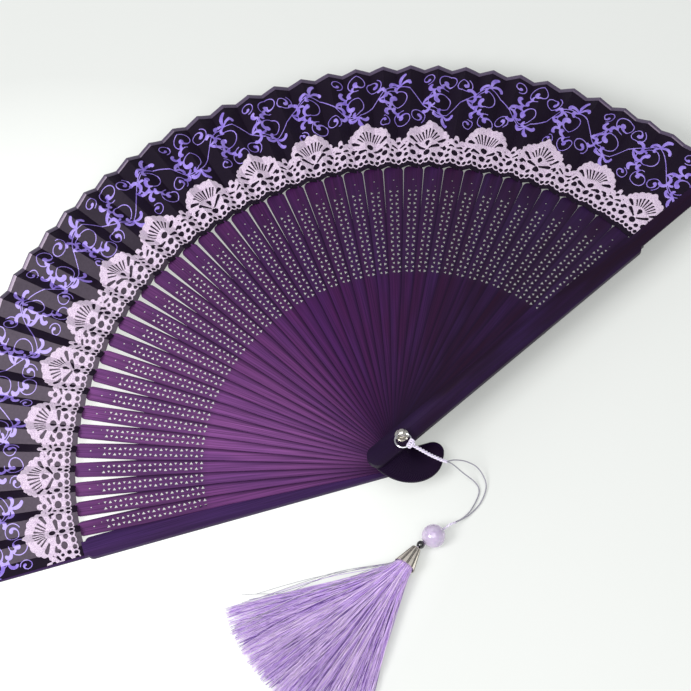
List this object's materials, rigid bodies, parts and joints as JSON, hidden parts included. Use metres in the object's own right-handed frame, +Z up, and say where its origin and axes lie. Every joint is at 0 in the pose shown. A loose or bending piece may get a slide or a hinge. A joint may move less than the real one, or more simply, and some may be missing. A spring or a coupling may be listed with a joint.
{
  "type": "folding hand fan",
  "caption": "Folding hand fan: pierced bamboo ribs and two guards turn on a rivet, with a pleated silk leaf, lace trim, and a tassel on a ring.",
  "frame": {"origin": "the rivet's axis, on the plane that the back guard rests on", "axes": "+Z up along the rivet, +Y along the middle of the open leaf, +X towards the front guard's side"},
  "size_m": [0.3764, 0.2866, 0.0291],
  "materials": {
    "dyed_bamboo_guard": "satin dyed bamboo",
    "dyed_bamboo_rib": "satin dyed bamboo with fine lengthwise grain",
    "leaf_silk": "sheer plain silk",
    "lace": "matt cotton lace",
    "binding_tape": "satin tape",
    "rivet_steel": "polished",
    "ring_wire": "polished wire",
    "cord_silk": "twisted silk cord",
    "bead_glass": "milky glass",
    "spacer_bead": "gloss",
    "cap_metal": "antiqued, fluted",
    "skirt_silk": "loose glossy silk threads"
  },
  "bodies": {
    "back_guard": {"back_guard": "dyed_bamboo_guard", "leaf": "leaf_silk", "lace_trim": "lace", "edge_binding": "binding_tape", "rivet_pin": "rivet_steel", "front_washer": "rivet_steel"},
    "rib_01": {"rib_01": "dyed_bamboo_rib"},
    "rib_02": {"rib_02": "dyed_bamboo_rib"},
    "rib_03": {"rib_03": "dyed_bamboo_rib"},
    "rib_04": {"rib_04": "dyed_bamboo_rib"},
    "rib_05": {"rib_05": "dyed_bamboo_rib"},
    "rib_06": {"rib_06": "dyed_bamboo_rib"},
    "rib_07": {"rib_07": "dyed_bamboo_rib"},
    "rib_08": {"rib_08": "dyed_bamboo_rib"},
    "rib_09": {"rib_09": "dyed_bamboo_rib"},
    "rib_10": {"rib_10": "dyed_bamboo_rib"},
    "rib_11": {"rib_11": "dyed_bamboo_rib"},
    "rib_12": {"rib_12": "dyed_bamboo_rib"},
    "rib_13": {"rib_13": "dyed_bamboo_rib"},
    "rib_14": {"rib_14": "dyed_bamboo_rib"},
    "rib_15": {"rib_15": "dyed_bamboo_rib"},
    "rib_16": {"rib_16": "dyed_bamboo_rib"},
    "rib_17": {"rib_17": "dyed_bamboo_rib"},
    "rib_18": {"rib_18": "dyed_bamboo_rib"},
    "rib_19": {"rib_19": "dyed_bamboo_rib"},
    "rib_20": {"rib_20": "dyed_bamboo_rib"},
    "rib_21": {"rib_21": "dyed_bamboo_rib"},
    "rib_22": {"rib_22": "dyed_bamboo_rib"},
    "rib_23": {"rib_23": "dyed_bamboo_rib"},
    "rib_24": {"rib_24": "dyed_bamboo_rib"},
    "rib_25": {"rib_25": "dyed_bamboo_rib"},
    "rib_26": {"rib_26": "dyed_bamboo_rib"},
    "rib_27": {"rib_27": "dyed_bamboo_rib"},
    "rib_28": {"rib_28": "dyed_bamboo_rib"},
    "rib_29": {"rib_29": "dyed_bamboo_rib"},
    "rib_30": {"rib_30": "dyed_bamboo_rib"},
    "rib_31": {"rib_31": "dyed_bamboo_rib"},
    "rib_32": {"rib_32": "dyed_bamboo_rib"},
    "rib_33": {"rib_33": "dyed_bamboo_rib"},
    "rib_34": {"rib_34": "dyed_bamboo_rib"},
    "rib_35": {"rib_35": "dyed_bamboo_rib"},
    "rib_36": {"rib_36": "dyed_bamboo_rib"},
    "rib_37": {"rib_37": "dyed_bamboo_rib"},
    "rib_38": {"rib_38": "dyed_bamboo_rib"},
    "rib_39": {"rib_39": "dyed_bamboo_rib"},
    "rib_40": {"rib_40": "dyed_bamboo_rib"},
    "front_guard": {"front_guard": "dyed_bamboo_guard"},
    "hanging_ring": {"hanging_ring": "ring_wire"},
    "tassel_cord": {"tassel_cord": "cord_silk", "cord_knot": "cord_silk"},
    "glass_bead": {"glass_bead": "bead_glass"},
    "spacer_bead": {"spacer_bead": "spacer_bead"},
    "tassel": {"tassel_cap": "cap_metal", "tassel_skirt": "skirt_silk"}
  },
  "joints": [
    {"name": "fan_fold", "type": "hinge", "parent": "back_guard", "child": "rib_01", "pos_m": [0, 0, 0], "axis": [0, 0, 1], "range_deg": [0, 3.76], "deforming": ["leaf", "lace_trim", "edge_binding"]},
    {"name": "fold_02", "type": "hinge", "parent": "rib_01", "child": "rib_02", "pos_m": [0, 0, 0], "axis": [0, 0, 1], "range_deg": [0, 3.76]},
    {"name": "fold_03", "type": "hinge", "parent": "rib_02", "child": "rib_03", "pos_m": [0, 0, 0], "axis": [0, 0, 1], "range_deg": [0, 3.76]},
    {"name": "fold_04", "type": "hinge", "parent": "rib_03", "child": "rib_04", "pos_m": [0, 0, 0], "axis": [0, 0, 1], "range_deg": [0, 3.76]},
    {"name": "fold_05", "type": "hinge", "parent": "rib_04", "child": "rib_05", "pos_m": [0, 0, 0], "axis": [0, 0, 1], "range_deg": [0, 3.76]},
    {"name": "fold_06", "type": "hinge", "parent": "rib_05", "child": "rib_06", "pos_m": [0, 0, 0], "axis": [0, 0, 1], "range_deg": [0, 3.76]},
    {"name": "fold_07", "type": "hinge", "parent": "rib_06", "child": "rib_07", "pos_m": [0, 0, 0], "axis": [0, 0, 1], "range_deg": [0, 3.76]},
    {"name": "fold_08", "type": "hinge", "parent": "rib_07", "child": "rib_08", "pos_m": [0, 0, 0], "axis": [0, 0, 1], "range_deg": [0, 3.76]},
    {"name": "fold_09", "type": "hinge", "parent": "rib_08", "child": "rib_09", "pos_m": [0, 0, 0], "axis": [0, 0, 1], "range_deg": [0, 3.76]},
    {"name": "fold_10", "type": "hinge", "parent": "rib_09", "child": "rib_10", "pos_m": [0, 0, 0], "axis": [0, 0, 1], "range_deg": [0, 3.76]},
    {"name": "fold_11", "type": "hinge", "parent": "rib_10", "child": "rib_11", "pos_m": [0, 0, 0], "axis": [0, 0, 1], "range_deg": [0, 3.76]},
    {"name": "fold_12", "type": "hinge", "parent": "rib_11", "child": "rib_12", "pos_m": [0, 0, 0], "axis": [0, 0, 1], "range_deg": [0, 3.76]},
    {"name": "fold_13", "type": "hinge", "parent": "rib_12", "child": "rib_13", "pos_m": [0, 0, 0], "axis": [0, 0, 1], "range_deg": [0, 3.76]},
    {"name": "fold_14", "type": "hinge", "parent": "rib_13", "child": "rib_14", "pos_m": [0, 0, 0], "axis": [0, 0, 1], "range_deg": [0, 3.76]},
    {"name": "fold_15", "type": "hinge", "parent": "rib_14", "child": "rib_15", "pos_m": [0, 0, 0], "axis": [0, 0, 1], "range_deg": [0, 3.76]},
    {"name": "fold_16", "type": "hinge", "parent": "rib_15", "child": "rib_16", "pos_m": [0, 0, 0], "axis": [0, 0, 1], "range_deg": [0, 3.76]},
    {"name": "fold_17", "type": "hinge", "parent": "rib_16", "child": "rib_17", "pos_m": [0, 0, 0], "axis": [0, 0, 1], "range_deg": [0, 3.76]},
    {"name": "fold_18", "type": "hinge", "parent": "rib_17", "child": "rib_18", "pos_m": [0, 0, 0], "axis": [0, 0, 1], "range_deg": [0, 3.76]},
    {"name": "fold_19", "type": "hinge", "parent": "rib_18", "child": "rib_19", "pos_m": [0, 0, 0], "axis": [0, 0, 1], "range_deg": [0, 3.76]},
    {"name": "fold_20", "type": "hinge", "parent": "rib_19", "child": "rib_20", "pos_m": [0, 0, 0], "axis": [0, 0, 1], "range_deg": [0, 3.76]},
    {"name": "fold_21", "type": "hinge", "parent": "rib_20", "child": "rib_21", "pos_m": [0, 0, 0], "axis": [0, 0, 1], "range_deg": [0, 3.76]},
    {"name": "fold_22", "type": "hinge", "parent": "rib_21", "child": "rib_22", "pos_m": [0, 0, 0], "axis": [0, 0, 1], "range_deg": [0, 3.76]},
    {"name": "fold_23", "type": "hinge", "parent": "rib_22", "child": "rib_23", "pos_m": [0, 0, 0], "axis": [0, 0, 1], "range_deg": [0, 3.76]},
    {"name": "fold_24", "type": "hinge", "parent": "rib_23", "child": "rib_24", "pos_m": [0, 0, 0], "axis": [0, 0, 1], "range_deg": [0, 3.76]},
    {"name": "fold_25", "type": "hinge", "parent": "rib_24", "child": "rib_25", "pos_m": [0, 0, 0], "axis": [0, 0, 1], "range_deg": [0, 3.76]},
    {"name": "fold_26", "type": "hinge", "parent": "rib_25", "child": "rib_26", "pos_m": [0, 0, 0], "axis": [0, 0, 1], "range_deg": [0, 3.76]},
    {"name": "fold_27", "type": "hinge", "parent": "rib_26", "child": "rib_27", "pos_m": [0, 0, 0], "axis": [0, 0, 1], "range_deg": [0, 3.76]},
    {"name": "fold_28", "type": "hinge", "parent": "rib_27", "child": "rib_28", "pos_m": [0, 0, 0], "axis": [0, 0, 1], "range_deg": [0, 3.76]},
    {"name": "fold_29", "type": "hinge", "parent": "rib_28", "child": "rib_29", "pos_m": [0, 0, 0], "axis": [0, 0, 1], "range_deg": [0, 3.76]},
    {"name": "fold_30", "type": "hinge", "parent": "rib_29", "child": "rib_30", "pos_m": [0, 0, 0], "axis": [0, 0, 1], "range_deg": [0, 3.76]},
    {"name": "fold_31", "type": "hinge", "parent": "rib_30", "child": "rib_31", "pos_m": [0, 0, 0], "axis": [0, 0, 1], "range_deg": [0, 3.76]},
    {"name": "fold_32", "type": "hinge", "parent": "rib_31", "child": "rib_32", "pos_m": [0, 0, 0], "axis": [0, 0, 1], "range_deg": [0, 3.76]},
    {"name": "fold_33", "type": "hinge", "parent": "rib_32", "child": "rib_33", "pos_m": [0, 0, 0], "axis": [0, 0, 1], "range_deg": [0, 3.76]},
    {"name": "fold_34", "type": "hinge", "parent": "rib_33", "child": "rib_34", "pos_m": [0, 0, 0], "axis": [0, 0, 1], "range_deg": [0, 3.76]},
    {"name": "fold_35", "type": "hinge", "parent": "rib_34", "child": "rib_35", "pos_m": [0, 0, 0], "axis": [0, 0, 1], "range_deg": [0, 3.76]},
    {"name": "fold_36", "type": "hinge", "parent": "rib_35", "child": "rib_36", "pos_m": [0, 0, 0], "axis": [0, 0, 1], "range_deg": [0, 3.76]},
    {"name": "fold_37", "type": "hinge", "parent": "rib_36", "child": "rib_37", "pos_m": [0, 0, 0], "axis": [0, 0, 1], "range_deg": [0, 3.76]},
    {"name": "fold_38", "type": "hinge", "parent": "rib_37", "child": "rib_38", "pos_m": [0, 0, 0], "axis": [0, 0, 1], "range_deg": [0, 3.76]},
    {"name": "fold_39", "type": "hinge", "parent": "rib_38", "child": "rib_39", "pos_m": [0, 0, 0], "axis": [0, 0, 1], "range_deg": [0, 3.76]},
    {"name": "fold_40", "type": "hinge", "parent": "rib_39", "child": "rib_40", "pos_m": [0, 0, 0], "axis": [0, 0, 1], "range_deg": [0, 3.76]},
    {"name": "fold_41", "type": "hinge", "parent": "rib_40", "child": "front_guard", "pos_m": [0, 0, 0], "axis": [0, 0, 1], "range_deg": [0, 3.76]},
    {"name": "ring_tilt", "type": "hinge", "parent": "back_guard", "child": "hanging_ring", "pos_m": [0, 0, 0.0272], "axis": [-0.9397, 0.342, 0], "range_deg": [0, 75], "deforming": ["tassel_cord"]},
    {"name": "cord_swing", "type": "hinge", "parent": "hanging_ring", "child": "tassel_cord", "pos_m": [-0.00116, -0.00319, 0.0272], "axis": [0, 0, 1], "range_deg": [-12, 20], "deforming": ["tassel_cord"]},
    {"name": "bead_slide", "type": "slide", "parent": "tassel_cord", "child": "glass_bead", "axis": [0.9925, 0.1219, 0], "range_m": [0, 0.003]},
    {"name": "spacer_spin", "type": "hinge", "parent": "tassel_cord", "child": "spacer_bead", "pos_m": [-0.0137, -0.03881, 0.00502], "axis": [-0.9925, -0.1219, 0], "continuous": true},
    {"name": "tassel_swing", "type": "hinge", "parent": "tassel_cord", "child": "tassel", "pos_m": [-0.01588, -0.03926, 0.00502], "axis": [0, 0, 1], "range_deg": [-12, 15], "deforming": ["tassel_cord"]}
  ],
  "couplings": [
    {"joint": "fold_02", "follows": "fan_fold", "ratio": 1},
    {"joint": "fold_03", "follows": "fan_fold", "ratio": 1},
    {"joint": "fold_04", "follows": "fan_fold", "ratio": 1},
    {"joint": "fold_05", "follows": "fan_fold", "ratio": 1},
    {"joint": "fold_06", "follows": "fan_fold", "ratio": 1},
    {"joint": "fold_07", "follows": "fan_fold", "ratio": 1},
    {"joint": "fold_08", "follows": "fan_fold", "ratio": 1},
    {"joint": "fold_09", "follows": "fan_fold", "ratio": 1},
    {"joint": "fold_10", "follows": "fan_fold", "ratio": 1},
    {"joint": "fold_11", "follows": "fan_fold", "ratio": 1},
    {"joint": "fold_12", "follows": "fan_fold", "ratio": 1},
    {"joint": "fold_13", "follows": "fan_fold", "ratio": 1},
    {"joint": "fold_14", "follows": "fan_fold", "ratio": 1},
    {"joint": "fold_15", "follows": "fan_fold", "ratio": 1},
    {"joint": "fold_16", "follows": "fan_fold", "ratio": 1},
    {"joint": "fold_17", "follows": "fan_fold", "ratio": 1},
    {"joint": "fold_18", "follows": "fan_fold", "ratio": 1},
    {"joint": "fold_19", "follows": "fan_fold", "ratio": 1},
    {"joint": "fold_20", "follows": "fan_fold", "ratio": 1},
    {"joint": "fold_21", "follows": "fan_fold", "ratio": 1},
    {"joint": "fold_22", "follows": "fan_fold", "ratio": 1},
    {"joint": "fold_23", "follows": "fan_fold", "ratio": 1},
    {"joint": "fold_24", "follows": "fan_fold", "ratio": 1},
    {"joint": "fold_25", "follows": "fan_fold", "ratio": 1},
    {"joint": "fold_26", "follows": "fan_fold", "ratio": 1},
    {"joint": "fold_27", "follows": "fan_fold", "ratio": 1},
    {"joint": "fold_28", "follows": "fan_fold", "ratio": 1},
    {"joint": "fold_29", "follows": "fan_fold", "ratio": 1},
    {"joint": "fold_30", "follows": "fan_fold", "ratio": 1},
    {"joint": "fold_31", "follows": "fan_fold", "ratio": 1},
    {"joint": "fold_32", "follows": "fan_fold", "ratio": 1},
    {"joint": "fold_33", "follows": "fan_fold", "ratio": 1},
    {"joint": "fold_34", "follows": "fan_fold", "ratio": 1},
    {"joint": "fold_35", "follows": "fan_fold", "ratio": 1},
    {"joint": "fold_36", "follows": "fan_fold", "ratio": 1},
    {"joint": "fold_37", "follows": "fan_fold", "ratio": 1},
    {"joint": "fold_38", "follows": "fan_fold", "ratio": 1},
    {"joint": "fold_39", "follows": "fan_fold", "ratio": 1},
    {"joint": "fold_40", "follows": "fan_fold", "ratio": 1},
    {"joint": "fold_41", "follows": "fan_fold", "ratio": 1}
  ]
}
